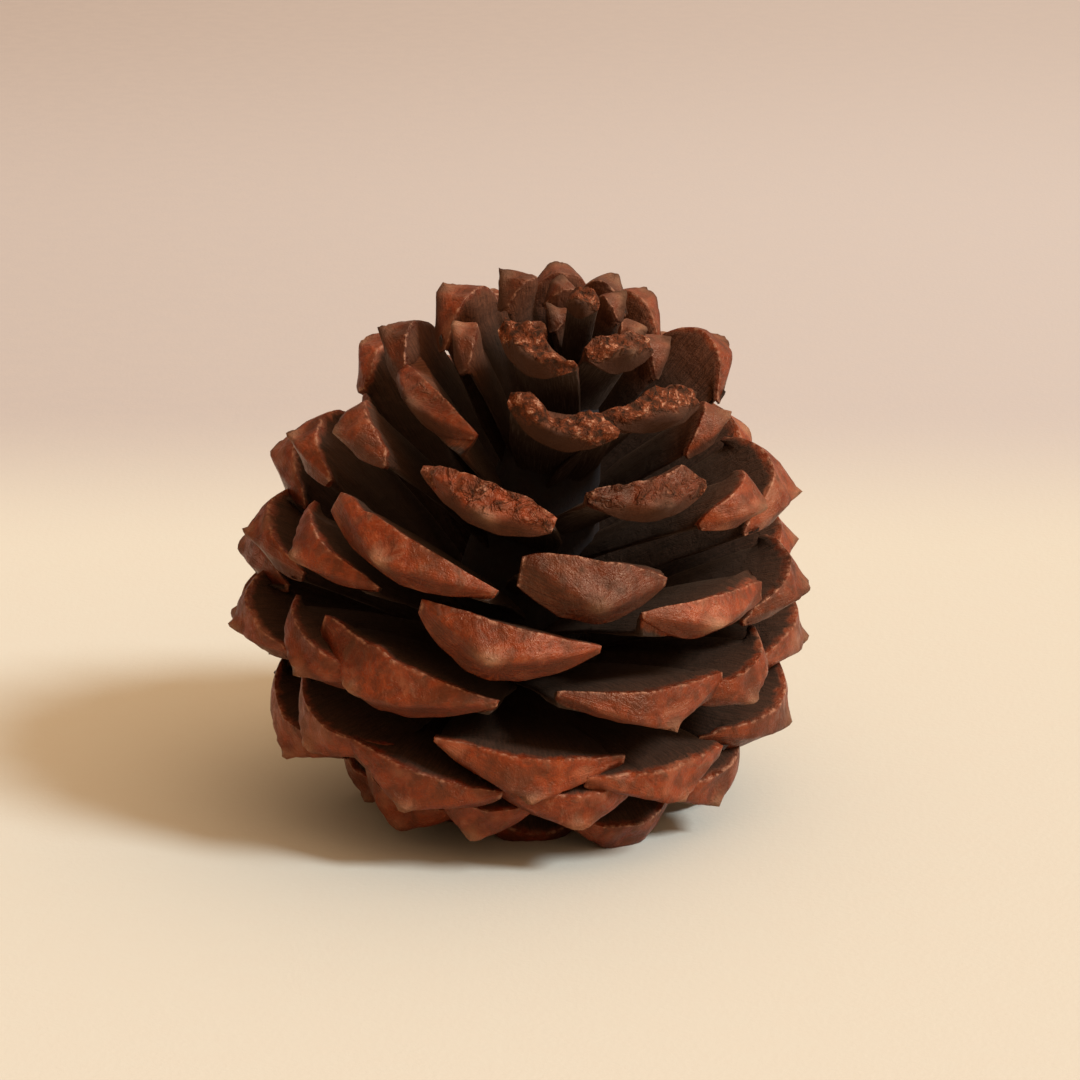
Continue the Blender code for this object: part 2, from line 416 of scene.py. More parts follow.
def ease(low, high, value):
    """Smooth step from 0 at low to 1 at high."""
    t = min(max((value - low) / (high - low), 0.0), 1.0)
    return t * t * (3.0 - 2.0 * t)


def lying_turn():
    """Turn from the upright cone to the way it lies."""
    heading = Matrix.Rotation(HEADING, 4, "Z")
    lean = Matrix.Rotation(LEAN, 4, "Y")
    roll = Matrix.Rotation(ROLL - HEADING, 4, "Z")
    return Matrix.Translation(MIDDLE) @ heading @ lean @ roll


def depth_of(name, description, default, deepest):
    """A depth of relief that the user can change."""
    return bpy.props.FloatProperty(
        name=name,
        description=description,
        default=default,
        min=0.0,
        max=deepest,
        unit="LENGTH",
        precision=5,
    )


def colour_of(name, description, default):
    """A colour that the user can change."""
    return bpy.props.FloatVectorProperty(
        name=name,
        description=description,
        default=default,
        size=3,
        min=0.0,
        max=1.0,
        subtype="COLOR",
    )


class ConeSizes(bpy.types.PropertyGroup):
    """Sizes of the cone's scales."""

    width_by: bpy.props.FloatProperty(
        name="Scale width",
        description="Width of every scale end against the measured one",
        default=1.0,
        min=0.8,
        max=1.2,
        subtype="FACTOR",
    )
    keel_rise: depth_of(
        "Keel rise",
        "How far the cross ridge of a scale end stands proud",
        1.45 * MM,
        3.0 * MM,
    )
    umbo_rise: depth_of(
        "Umbo rise",
        "Height of the small boss in the middle of the ridge",
        0.6 * MM,
        1.5 * MM,
    )
    unevenness: depth_of(
        "Unevenness",
        "Depth of the shallow dents of a scale end",
        0.30 * MM,
        1.0 * MM,
    )
    cork_depth: depth_of(
        "Cork depth",
        "Roughness of the crumbled tips of the crown",
        0.75 * MM,
        1.0 * MM,
    )


class ConeColours(bpy.types.PropertyGroup):
    """Colours of the wood."""

    red_brown: colour_of("Red brown", "Main colour of the scale ends", (0.225, 0.025, 0.0040))
    orange_brown: colour_of(
        "Orange brown",
        "Lighter streaks and lower facets",
        (0.310, 0.050, 0.009),
    )
    grey_tan: colour_of("Grey tan", "Weathered patches", (0.250, 0.085, 0.040))
    charcoal: colour_of("Charcoal", "Undersides of the tongues", (0.024, 0.014, 0.010))
    cork: colour_of("Cork", "Crumbled tips of the crown", (0.190, 0.034, 0.008))


class StageLook(bpy.types.PropertyGroup):
    """Surface, light and camera."""

    near_colour: colour_of(
        "Near surface",
        "Colour of the surface round the cone",
        (0.620, 0.555, 0.435),
    )
    far_colour: colour_of(
        "Far surface",
        "Colour of the surface behind the cone",
        (0.510, 0.440, 0.385),
    )
    key_strength: bpy.props.FloatProperty(
        name="Key light",
        description="Strength of the main light",
        default=3.6,
        min=0.0,
        max=20.0,
    )
    fill_strength: bpy.props.FloatProperty(
        name="Fill light",
        description="Strength of the light from all round",
        default=1.30,
        min=0.0,
        max=5.0,
    )
    lens: bpy.props.FloatProperty(
        name="Lens",
        description="Focal length on a 36 mm sensor",
        default=159.0,
        min=20.0,
        max=400.0,
    )
    distance: bpy.props.FloatProperty(
        name="Camera distance",
        description="From the middle of the cone to the camera",
        default=0.45,
        min=0.1,
        max=3.0,
        unit="LENGTH",
    )
    elevation: bpy.props.FloatProperty(
        name="Camera elevation",
        description="Angle of the camera above the surface",
        default=math.radians(15.5),
        min=0.0,
        max=math.pi / 2,
        subtype="ANGLE",
    )


def plan_scale(number, dice, sizes):
    """Everything that a scale's shape follows from, in the upright cone."""
    radius, height = [value * MM for value in along(OUTLINE, number)]
    width, thick = [value * MM for value in along(END_SIZE, number)]
    face, slope = [math.radians(value) for value in along(SLOPES, number)]
    corner, roundness, wear, crest = along(END_FORM, number)
    corner, wear = WORN_ENDS.get(number, (corner, wear))
    radius += dice.uniform(-REACH_SPREAD, REACH_SPREAD)
    width *= 1.0 + dice.uniform(-SIZE_SPREAD, SIZE_SPREAD)
    thick *= 1.0 + dice.uniform(-SIZE_SPREAD, SIZE_SPREAD)
    turn = SPIN + DIVERGENCE * number + dice.uniform(-TURN_SPREAD, TURN_SPREAD)
    twist = dice.uniform(-TURN_SPREAD, TURN_SPREAD) * TWIST_SPREAD_BY

    # What sets this scale apart from the rule
    turn_by, height_by, width_by, thick_by, twist_by = STRAYS.get(number, AS_THE_RULE)
    turn += math.radians(turn_by)
    height += (height_by + RAISED.get(number, 0.0)) * MM
    width *= width_by * sizes.width_by
    thick *= thick_by
    measured = number in MEASURED
    if measured or (number < FULL_BELOW and number not in STRAYS):
        thick *= FULL_THICKNESS
    else:
        width *= SLENDER[0]
        thick *= SLENDER[1]
    twist += math.radians(twist_by)

    # Directions of the face and of the tongue behind it
    outward = Vector((math.cos(turn), math.sin(turn), 0.0))
    across = Vector((-math.sin(turn), math.cos(turn), 0.0))
    upright = Vector((0.0, 0.0, 1.0))
    normal = outward * math.cos(face) + upright * math.sin(face)
    rise = upright * math.cos(face) - outward * math.sin(face)
    face_across = across * math.cos(twist) + rise * math.sin(twist)
    face_rise = rise * math.cos(twist) - across * math.sin(twist)
    middle = outward * radius + upright * height
    root_height = max(height - radius * math.tan(slope), height - ROOT_DROP)
    root = upright * min(root_height, ROOT_TOP)
    back = (root - middle).normalized()
    centre_up = 0.08 + 0.52 * corner
    start = middle + face_rise * thick / 2.0 * centre_up
    end = root - back * ROOT_GAP
    reach = (end - start).length
    bend = start + (back - normal * BEND_LIFT).normalized() * reach * BEND_AT

    # Small differences from scale to scale, drawn apart so that the places stay the same
    own = random.Random(OWN_SEED + number)
    return {
        "number": number,
        "middle": middle,
        "across": across,
        "face_across": face_across,
        "face_rise": face_rise,
        "normal": normal,
        "half": width / 2.0,
        "tall": thick / 2.0,
        "corner": corner,
        "crest": crest,
        "roundness": roundness,
        "wear": wear,
        "centre_up": centre_up,
        "start": start,
        "bend": bend,
        "end": end,
        "shift": Vector((own.uniform(-50, 50), own.uniform(-50, 50), own.uniform(-50, 50))),
        "tint": own.random(),
        "umbo": UMBOS.get(number, (own.uniform(-0.2, 0.2), own.uniform(-0.85, -0.25))),
        "blunt": BLUNT.get(number, (own.uniform(0.3, 0.8), own.uniform(0.3, 0.8))),
        "droop": (0.1, 0.1) if measured else (own.uniform(0.1, 0.8), own.uniform(0.1, 0.8)),
        "under": own.uniform(1.2, 2.1) * MM,
        "valley": own.uniform(0.0, 0.28) * MM,
        "lobe": own.uniform(0.0, 0.30) * MM,
        "notches": NOTCHES.get(number, ()),
        "parallel": ease(4.0, 16.0, number),
        "rounded": 0.0 if measured else 0.7 + 0.5 * ease(6.0, 16.0, number),
        "tone_and_painted_shade": TONE_AND_PAINTED_SHADE.get(number, own.uniform(0.05, 0.40)),
    }


def beside_umbo(plan, u):
    """Share of the way from the umbo out to the nearer corner."""
    place = plan["umbo"][0]
    if u > place:
        return (u - place) / (1.0 - place)
    return (place - u) / (1.0 + place)


def keel_height(plan, u):
    """Height of the cross ridge, which sags from the corners to the umbo."""
    low = plan["umbo"][1]
    return low + (plan["corner"] - 0.08 - low) * beside_umbo(plan, u) ** 1.2


def rim_height(plan, u):
    """Height of the upper rim of a scale end, in half thicknesses."""
    corner = plan["corner"]
    top = corner + (plan["crest"] - corner) * (1.0 - abs(u) ** 2.2)
    side = 0 if u < 0 else 1
    top -= plan["droop"][side] * (plan["blunt"][side] - 0.12) * ease(0.80, 1.0, abs(u))
    for place, half_width, depth in plan["notches"]:
        top -= depth * math.exp(-((u - place) / half_width) ** 2)

    # Waves all along, and crumbled bites where the tip is worn
    shift = plan["shift"]
    worn = plan["wear"] * (1.0 - abs(u) ** 4)
    for height, waves, lane in ((0.05, 3.0, 0.0), (0.025, 11.0, 5.0)):
        top += height * noise.noise(shift + Vector((u * waves, lane, 0.0)))
    for height, waves, lane in ((0.22, 4.5, 9.0), (0.12, 13.0, 13.0)):
        top += worn * height * noise.noise(shift + Vector((u * waves, lane, 0.0)))
    return top


def lower_height(plan, u):
    """Height of the lower contour of a scale end, in half thicknesses."""
    edge = min(plan["blunt"][0 if u < 0 else 1], 0.9 + plan["corner"])
    low = -1.0 + (1.0 + plan["corner"] - edge) * beside_umbo(plan, u) ** plan["roundness"]
    low += 0.10 * noise.noise(plan["shift"] + Vector((u * 4.0, 0.0, 7.0))) * (1.0 - u * u)
    return low


def face_out(plan, sizes, u, y, top, low):
    """How far the face stands out along its normal, with its keel, umbo and dents."""
    wide = abs(u)
    half, tall = plan["half"], plan["tall"]
    out = -SET_BACK - WRAP * wide ** 1.6 * (half / WRAP_HALF) ** 2
    out -= ROUNDING * half * plan["rounded"] * wide ** 2.6

    # Facets above and below the keel, with a shallow valley and two lobes above
    umbo_x, umbo_y = plan["umbo"]
    keel = keel_height(plan, u)
    ridge = sizes.keel_rise * (1.0 - wide ** 1.7) * (tall / KEEL_HALF)
    if y >= keel:
        s = min((y - keel) / max(top - keel, 0.05), 1.0)
        out += ridge * (1.0 - s) ** 1.35
        out -= plan["valley"] * math.exp(-((u - umbo_x) / 0.13) ** 2) * math.sin(math.pi * s)
        out += plan["lobe"] * math.exp(-((wide - 0.36) / 0.2) ** 2) * math.sin(math.pi * s)
        out -= RIM_ROLL * s ** 8
    else:
        s = min((keel - y) / max(keel - low, 0.05), 1.0)
        out += ridge * (1.0 - s) - plan["under"] * s * (1.0 - wide)

    # Umbo, dents and the roughness of worn tips
    boss_x = (u - umbo_x) * half / UMBO_HALF[0]
    boss_y = (y - umbo_y) * tall / UMBO_HALF[1]
    boss = math.exp(-(boss_x ** 2 + boss_y ** 2))
    spot = plan["shift"] + Vector((u * half, y * tall, 0.0)) / MM
    out += sizes.umbo_rise * boss * (1.0 + 0.8 * noise.noise(spot * 1.6))
    out += sizes.unevenness * noise.noise(spot * 0.32)
    out += sizes.unevenness * 0.4 * noise.noise(spot * 0.9)
    rough = plan["wear"] * ease(-0.6, 0.5, y)
    out += sizes.cork_depth * rough * noise.noise(spot * 1.1)
    out += sizes.cork_depth * 0.6 * rough * noise.noise(spot * 2.4)
    return out, boss


def tongue_place(plan, u, v, t, y, out):
    """Place of a point of the tongue, which runs from the border of the face to the axis."""
    half, tall = plan["half"], plan["tall"]
    start, bend, end = plan["start"], plan["bend"], plan["end"]

    # Point of the tongue's line, and the ways up and sideways there
    line = start * (1 - t) ** 2 + bend * 2 * t * (1 - t) + end * t ** 2
    way = ((bend - start) * (1 - t) + (end - bend) * t).normalized()
    up = plan["across"].cross(way).normalized()
    up = plan["face_rise"].lerp(up, ease(0.0, 0.16, t)).normalized()
    side_way = plan["face_across"].lerp(plan["across"], ease(0.0, 0.10, t))

    # Width, with a small lip just behind the face
    keep = plan["parallel"]
    narrow = 1.0 - 0.07 * ease(0.0, 0.2, t) - (0.30 - 0.2 * keep) * ease(0.15, 0.65, t)
    narrow -= (0.30 + 0.15 * keep) * ease(0.55, 1.0, t)
    lip = LIP if t < 0.01 else 1.0

    # Height, which settles from the border of the face to the tongue's thin section
    thin = (0.95 - 0.35 * ease(0.1, 0.6, t)) * MM * min(1.0, tall / TONGUE_FULL)
    bulge = 1.0 - abs(u) ** 2.6
    if v > 0.999:
        y_tongue = thin * bulge + EDGE_HALF
        settled = ease(0.0, 0.22, t)
    elif v < -0.999:
        y_tongue = -thin * 1.1 * bulge - EDGE_HALF
        settled = ease(0.0, 0.15, t)
    else:
        y_tongue = EDGE_HALF * v
        settled = ease(0.0, 0.18, t)
    y_face = (y - plan["centre_up"]) * tall * lip
    y_here = y_face * (1.0 - settled) + y_tongue * settled
    spot = plan["shift"] + Vector((u * half, v * 2.0 * MM, t * 0.02)) / MM
    ripple = RIPPLE * noise.noise(spot * 0.5) * ease(0.03, 0.2, t)
    return (
        line
        + side_way * half * u * narrow * lip
        + up * (y_here + ripple)
        + plan["normal"] * out * (1.0 - settled)
    )


def marks_at(plan, u, v, t, y, boss):
    """Marks of a point of a scale, from 0 to 1, which the material reads."""
    on_face = t == 0.0
    # Worn rim, with partly painted highlight along it
    if on_face:
        rim_wear_and_highlight = max(ease(0.72, 1.0, v) ** 3, ease(0.93, 1.0, abs(u)))
    else:
        rim_wear_and_highlight = (1.0 - ease(0.004, 0.03, t)) * (1.0 if v > -0.9 else 0.25)
    number, wear = plan["number"], plan["wear"]
    burn = max(ease(0.25, 0.7, wear), 0.8 * ease(8.0, 16.0, number))
    burn_edge = y - 0.35 * noise.noise(plan["shift"] + Vector((u * 4.0, y, 3.0)))
    painted_shade_under_keel = ease(0.0, 0.25, keel_height(plan, u) - y)
    return {
        "way_back": t,
        "rim_wear_and_highlight": rim_wear_and_highlight,
        "umbo": boss if on_face else 0.0,
        "upper_side": ease(-0.9, 0.9, v),
        "cork": wear * ease(-1.0, 0.1, y) * (1.0 - ease(0.02, 0.10, t)),
        "tint": plan["tint"],
        "crown": ease(-5.0, 30.0, number),
        # Painted shade below the keel and along the lower contour
        "painted_shade_below_keel": max(painted_shade_under_keel, 0.7 * ease(-0.75, -1.0, v)),
        "charred": burn * (1.0 - ease(-0.5, 0.05, burn_edge)),
        # Darker scales: own tone and painted shade
        "tone_and_painted_shade": plan["tone_and_painted_shade"],
    }


def shape_scale(bm, plan, sizes):
    """Move a sleeve of shares, x across, y up and z back, to the place of a scale."""
    layers = {name: bm.verts.layers.float[name] for name in MARKS}
    for vert in bm.verts:
        u, v, t = vert.co.x, vert.co.y, -vert.co.z
        top = rim_height(plan, u)
        low = min(lower_height(plan, u), top - 0.1)
        y = low + (v + 1.0) / 2.0 * (top - low)
        out, boss = face_out(plan, sizes, u, y, top, low)
        for name, value in marks_at(plan, u, v, t, y, boss).items():
            vert[layers[name]] = value
        if t == 0.0:
            vert.co = (
                plan["middle"]
                + plan["face_across"] * plan["half"] * u
                + plan["face_rise"] * plan["tall"] * y
                + plan["normal"] * out
            )
        else:
            vert.co = tongue_place(plan, u, v, t, y, out)


def make_sleeve():
    """A gridded end with its border drawn back in rings and closed, held as shares of a scale."""
    bm = bmesh.new()
    bmesh.ops.create_grid(bm, x_segments=FACE_GRID[0], y_segments=FACE_GRID[1], size=1.0)
    border = [edge for edge in bm.edges if edge.is_boundary]
    for edge in border:
        edge.smooth = False
    for ring in RINGS:
        made = bmesh.ops.extrude_edge_only(bm, edges=border)
        for item in made["geom"]:
            if isinstance(item, bmesh.types.BMVert):
                item.co.z = -ring
        border = [
            item for item in made["geom"]
            if isinstance(item, bmesh.types.BMEdge) and item.is_boundary
        ]
    bmesh.ops.holes_fill(bm, edges=border, sides=0)
    bmesh.ops.recalc_face_normals(bm, faces=bm.faces)
    lay_grain(bm)
    for name in MARKS:
        bm.verts.layers.float.new(name)
    mesh = bpy.data.meshes.new("sleeve")
    bm.to_mesh(mesh)
    bm.free()
    return mesh


def lay_grain(bm):
    """Smooth the faces, with fibres that fan out on the end and run along the tongue."""
    grain = bm.loops.layers.uv.new("grain")
    for face in bm.faces:
        face.smooth = True
        centre = face.calc_center_median()
        on_end = abs(face.normal.z) > 0.5 and centre.z > -0.001
        for loop in face.loops:
            co = loop.vert.co
            if on_end:
                from_hub = co.y + FAN_HUB
                angle = math.copysign(math.atan2(abs(co.x), from_hub), centre.x)
                loop[grain].uv = (angle * 0.3, math.hypot(co.x, from_hub) * 0.35)
            else:
                loop[grain].uv = (co.x, co.y * 0.3 + co.z * 2.4)


def set_down(bm):
    """Turn a piece to the way the cone lies, with nothing below the surface."""
    bmesh.ops.transform(bm, matrix=lying_turn(), verts=bm.verts)
    for vert in bm.verts:
        vert.co.z = max(vert.co.z, 0.0)


def build_scales(name, first, last, sizes, material):
    """A run of neighbouring scales as one piece."""
    sleeve = make_sleeve()
    dice = random.Random(SEED)
    group = bmesh.new()
    for number in range(FIRST_SCALE, LAST_SCALE + 1):
        plan = plan_scale(number, dice, sizes)
        if not first <= number <= last:
            continue
        bm = bmesh.new()
        bm.from_mesh(sleeve)
        shape_scale(bm, plan, sizes)
        single = bpy.data.meshes.new("single")
        bm.to_mesh(single)
        bm.free()
        group.from_mesh(single)
        bpy.data.meshes.remove(single)
    set_down(group)
    bpy.data.meshes.remove(sleeve)
    return add_piece(name, group, material)


def build_axis(material):
    """Turned woody axis with the scar of its stalk underneath."""
    bm = bmesh.new()
    ends = [bm.verts.new((radius * MM, 0.0, height * MM)) for height, radius in AXIS_PROFILE]
    edges = [bm.edges.new(pair) for pair in zip(ends, ends[1:])]
    bmesh.ops.spin(
        bm,
        geom=ends + edges,
        cent=(0.0, 0.0, 0.0),
        axis=(0.0, 0.0, 1.0),
        angle=math.tau,
        steps=AXIS_STEPS,
        use_merge=True,
    )
    bmesh.ops.remove_doubles(bm, verts=bm.verts, dist=0.01 * MM)
    bmesh.ops.subdivide_edges(bm, edges=bm.edges, cuts=1, use_grid_fill=True)
    for vert in bm.verts:
        swell = AXIS_WAVE * noise.noise(vert.co / MM * 0.5)
        vert.co += Vector((vert.co.x, vert.co.y, 0.0)) * swell
    bmesh.ops.recalc_face_normals(bm, faces=bm.faces)
    for face in bm.faces:
        face.smooth = True
    set_down(bm)
    return add_piece("axis", bm, material)


def add_piece(name, bm, material):
    """Put a piece of the cone in the scene, riding on the frame in place of the plain solid."""
    mesh = bpy.data.meshes.new(name)
    bm.to_mesh(mesh)
    bm.free()
    mesh.materials.append(material)
    piece = bpy.data.objects.new(name, mesh)
    bpy.context.scene.collection.objects.link(piece)
    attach(piece, "root")
    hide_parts("cone")
    return piece


def put(tree, kind, **values):
    """Add a node; values name its settings, or its inputs where they start with in_."""
    node = tree.nodes.new(kind)
    for key, value in values.items():
        if key.startswith("in_"):
            name = key[3:]
            give(tree, value, node.inputs[int(name) if name.isdigit() else name.replace("_", " ")])
        else:
            setattr(node, key, value)
    return node


def give(tree, value, socket):
    """Link a socket to an input, or set the input to a plain value."""
    if isinstance(value, bpy.types.NodeSocket):
        tree.links.new(value, socket)
    else:
        socket.default_value = value


def mark(tree, name):
    """Value of a mark painted on the scale's points."""
    return put(tree, "ShaderNodeAttribute", attribute_name=name).outputs["Fac"]


def reckon(tree, operation, a, b):
    """One step of arithmetic."""
    return put(tree, "ShaderNodeMath", operation=operation, in_0=a, in_1=b).outputs[0]


def times(tree, a, b):
    """Product of two values."""
    return reckon(tree, "MULTIPLY", a, b)


def plus(tree, a, b):
    """Sum of two values."""
    return reckon(tree, "ADD", a, b)


def grade(tree, value, low, high, to_low=0.0, to_high=1.0):
    """Smooth step of a value between two limits."""
    node = put(
        tree,
        "ShaderNodeMapRange",
        interpolation_type="SMOOTHSTEP",
        in_0=value,
        in_1=low,
        in_2=high,
        in_3=to_low,
        in_4=to_high,
    )
    return node.outputs[0]


def tinge(tree, share, under, over, way="MIX"):
    """Lay one colour over another."""
    node = put(
        tree,
        "ShaderNodeMix",
        data_type="RGBA",
        blend_type=way,
        clamp_factor=True,
        in_0=share,
        in_6=under,
        in_7=over,
    )
    return node.outputs[2]


def stain(tree, pattern, low, high, share, under, over):
    """Lay one colour over another by a pattern, from nothing at low up to a share at high."""
    return tinge(tree, grade(tree, pattern, low, high, 0.0, share), under, over)


def clouds(tree, spot, scale, detail=3.0, roughness=0.55, distortion=0.0):
    """Soft noise at a number of features per millimetre."""
    node = put(
        tree,
        "ShaderNodeTexNoise",
        in_Vector=spot,
        in_Scale=scale,
        in_Detail=detail,
        in_Roughness=roughness,
        in_Distortion=distortion,
    )
    return node.outputs["Fac"]


def relief(tree, height, strength, depth, under=None):
    """Bump of a height, over the normal of another bump if one is given."""
    node = put(tree, "ShaderNodeBump", in_Strength=strength, in_Distance=depth, in_Height=height)
    if under is not None:
        tree.links.new(under, node.inputs["Normal"])
    return node.outputs[0]


def new_group(name, inputs, outputs):
    """Empty node group with its sockets, its way in and its way out."""
    tree = bpy.data.node_groups.new(name, "ShaderNodeTree")
    for socket in inputs:
        tree.interface.new_socket(socket, in_out="INPUT", socket_type="NodeSocketVector")
    for socket in outputs:
        tree.interface.new_socket(socket, in_out="OUTPUT", socket_type="NodeSocketFloat")
    return tree, tree.nodes.new("NodeGroupInput"), tree.nodes.new("NodeGroupOutput")


def wood_grain_group():
    """Fine fibres and specks of dry wood, shared by the scales and the axis."""
    name = "wood_grain"
    if name in bpy.data.node_groups:
        return bpy.data.node_groups[name]
    tree, given, result = new_group(name, ("Spot", "Fibre Way"), ("Fibres", "Specks", "Height"))
    stretch = put(
        tree,
        "ShaderNodeMapping",
        in_Vector=given.outputs["Fibre Way"],
        in_Scale=(34.0, 3.0, 1.0),
    )
    fibres = clouds(tree, stretch.outputs[0], 1.0, 3.0, 0.6)
    fine = clouds(tree, given.outputs["Spot"], 7.0, 2.0, 0.6)
    specks = grade(tree, fine, 0.60, 0.72)
    height = plus(tree, times(tree, fibres, 0.6), times(tree, fine, 0.5))
    tree.links.new(fibres, result.inputs["Fibres"])
    tree.links.new(specks, result.inputs["Specks"])
    tree.links.new(height, result.inputs["Height"])
    return tree


def cork_group():
    """Crumbled cork: rough grains with pits between them, which the cork colour darkens as painted
    shade.
    """
    name = "cork_crumbs"
    if name in bpy.data.node_groups:
        return bpy.data.node_groups[name]
    tree, given, result = new_group(name, ("Spot",), ("Pits", "Height"))
    spot = given.outputs["Spot"]
    warp = put(tree, "ShaderNodeTexNoise", in_Vector=spot, in_Scale=1.3, in_Detail=2.0)
    moved = put(
        tree,
        "ShaderNodeMix",
        data_type="VECTOR",
        in_0=0.35,
        in_4=spot,
        in_5=warp.outputs["Color"],
    )
    cells = put(tree, "ShaderNodeTexVoronoi", in_Vector=moved.outputs[1], in_Scale=1.7)
    rough = clouds(tree, moved.outputs[1], 1.5, 4.0, 0.68)
    pits = grade(tree, rough, 0.36, 0.48, 1.0, 0.0)
    crumb = times(tree, reckon(tree, "SUBTRACT", 0.45, cells.outputs["Distance"]), 0.22)
    height = plus(tree, rough, crumb)
    tree.links.new(pits, result.inputs["Pits"])
    tree.links.new(height, result.inputs["Height"])
    return tree


def new_material(name):
    """Empty node material with its shader."""
    material = bpy.data.materials.new(name)
    material.use_nodes = True
    tree = material.node_tree
    tree.nodes.clear()
    shader = tree.nodes.new("ShaderNodeBsdfPrincipled")
    result = tree.nodes.new("ShaderNodeOutputMaterial")
    tree.links.new(shader.outputs[0], result.inputs["Surface"])
    return material, tree, shader


def in_millimetres(tree):
    """Object coordinates counted in millimetres."""
    place = put(tree, "ShaderNodeTexCoord").outputs["Object"]
    return put(tree, "ShaderNodeMapping", in_Vector=place, in_Scale=(1 / MM,) * 3).outputs[0]


def colour(values):
    """Three shares of light as a node colour."""
    return (values[0], values[1], values[2], 1.0)


def scale_patterns(tree):
    """Marks, noises and shared groups that a scale's colour, gloss and relief read."""
    spot = in_millimetres(tree)
    fibre_way = put(tree, "ShaderNodeUVMap", uv_map="grain").outputs[0]
    grain = put(
        tree,
        "ShaderNodeGroup",
        node_tree=wood_grain_group(),
        in_Spot=spot,
        in_Fibre_Way=fibre_way,
    )
    crumbs = put(tree, "ShaderNodeGroup", node_tree=cork_group(), in_Spot=spot)
    seen = {name: mark(tree, name) for name in MARKS}
    seen["spot"] = spot
    seen["fibres"] = grain.outputs["Fibres"]
    seen["specks"] = grain.outputs["Specks"]
    seen["grain_height"] = grain.outputs["Height"]
    seen["pits"] = crumbs.outputs["Pits"]
    seen["crumb_height"] = crumbs.outputs["Height"]
    seen["patchy"] = clouds(tree, spot, 0.62, 3.0, 0.62, 0.6)
    seen["mottle"] = clouds(tree, spot, 0.9, 3.0, 0.5, 0.3)
    seen["fleck"] = clouds(tree, spot, 5.0, 2.0, 0.6)
    by_tint = grade(tree, seen["tint"], 0.1, 0.9, 0.12, 0.6)
    seen["weathered"] = times(tree, grade(tree, seen["patchy"], 0.52, 0.70), by_tint)
    return seen


def end_colour(tree, seen, colours):
    """Scale end: red brown with streaks, weathered patches, cracks and a pale umbo."""
    red, orange = colour(colours.red_brown), colour(colours.orange_brown)
    deep = tuple(part * share for part, share in zip(red, DEEPER))
    spot, fibres, mottle = seen["spot"], seen["fibres"], seen["mottle"]
    broad = clouds(tree, spot, 0.28, 3.0, 0.5)
    wood = stain(tree, fibres, 0.36, 0.74, 0.55, red, orange)
    wood = stain(tree, broad, 0.55, 0.36, 0.75, wood, deep)
    wood = tinge(tree, seen["weathered"], wood, colour(colours.grey_tan))

    # Facets below the keel: plainer and more striped, and darker as painted shade, as is the lower
    # contour
    striped = stain(tree, fibres, 0.42, 0.62, 1.0, deep, orange)
    lower = tinge(tree, 1.0, striped, PAINTED_SHADE_LOWER_FACET, "MULTIPLY")
    wood = tinge(tree, times(tree, seen["painted_shade_below_keel"], 0.85), wood, lower)

    # Mottling, flecks and cracks
    wood = stain(tree, mottle, 0.56, 0.34, 0.55, wood, DARK_MOTTLE)
    wood = stain(tree, mottle, 0.56, 0.74, 0.30, wood, PALE_MOTTLE)
    wood = stain(tree, seen["fleck"], 0.58, 0.72, 0.16, wood, PALE_FLECK)
    crack_zone = grade(tree, clouds(tree, spot, 0.45, 2.0, 0.5), 0.50, 0.62)
    cracks = times(tree, grade(tree, fibres, 0.635, 0.665), crack_zone)
    wood = tinge(tree, times(tree, cracks, 0.75), wood, CRACK)

    # Broad darker and paler clouds, and painted shade darkening the scales towards the tip of the
    # cone
    bloom = clouds(tree, spot, 0.22, 2.0, 0.5, 0.4)
    wood = stain(tree, bloom, 0.50, 0.32, 0.65, wood, DARK_BLOOM)
    wood = stain(tree, bloom, 0.55, 0.72, 0.45, wood, PALE_BLOOM)
    wood = stain(tree, seen["crown"], 0.78, 1.0, 0.6, wood, PAINTED_SHADE_CROWN)

    # Umbo, specks, and the darkening of this scale among the others: its own tone and painted
    # shade
    boss = times(tree, seen["umbo"], grade(tree, seen["patchy"], 0.3, 0.6, 0.5, 1.0))
    wood = tinge(tree, times(tree, boss, 0.75), wood, PALE_UMBO)
    wood = tinge(tree, times(tree, seen["specks"], 0.25), wood, SPECK)
    tone_and_shade_dimmed = tinge(tree, 1.0, wood, TONE_AND_PAINTED_SHADE_DIM, "MULTIPLY")
    wood = tinge(tree, seen["tone_and_painted_shade"], wood, tone_and_shade_dimmed)

    # Pale worn line along the rim, partly painted highlight
    chips = clouds(tree, spot, 1.7, 3.0, 0.6)
    worn = times(tree, grade(tree, seen["rim_wear_and_highlight"], 0.35, 1.0), grade(tree, chips, 0.45, 0.66))
    return tinge(tree, times(tree, worn, 0.70), wood, WORN_RIM_AND_HIGHLIGHT)


def cork_colour(tree, seen, colours):
    """Crumbled cork of the crown tips: rusty, with painted shade in its low crumbs and pits, and
    pale crumbs that are partly painted highlight on the crumb tops.
    """
    height = seen["crumb_height"]
    # Painted shade in the low crumbs, own rust colour on the higher ones
    rust_and_painted_shade = stain(tree, height, 0.36, 0.60, 1.0, PAINTED_SHADE_CORK, colour(colours.cork))
    # Pale crumbs on the tops, partly painted highlight
    pale = plus(tree, height, times(tree, seen["fleck"], 0.5))
    crumbs = stain(tree, pale, 0.78, 1.00, 0.85, rust_and_painted_shade, PALE_CORK_AND_HIGHLIGHT)
    # Painted shade in the pits
    return tinge(tree, times(tree, seen["pits"], 0.9), crumbs, PAINTED_SHADE_CORK_PIT)


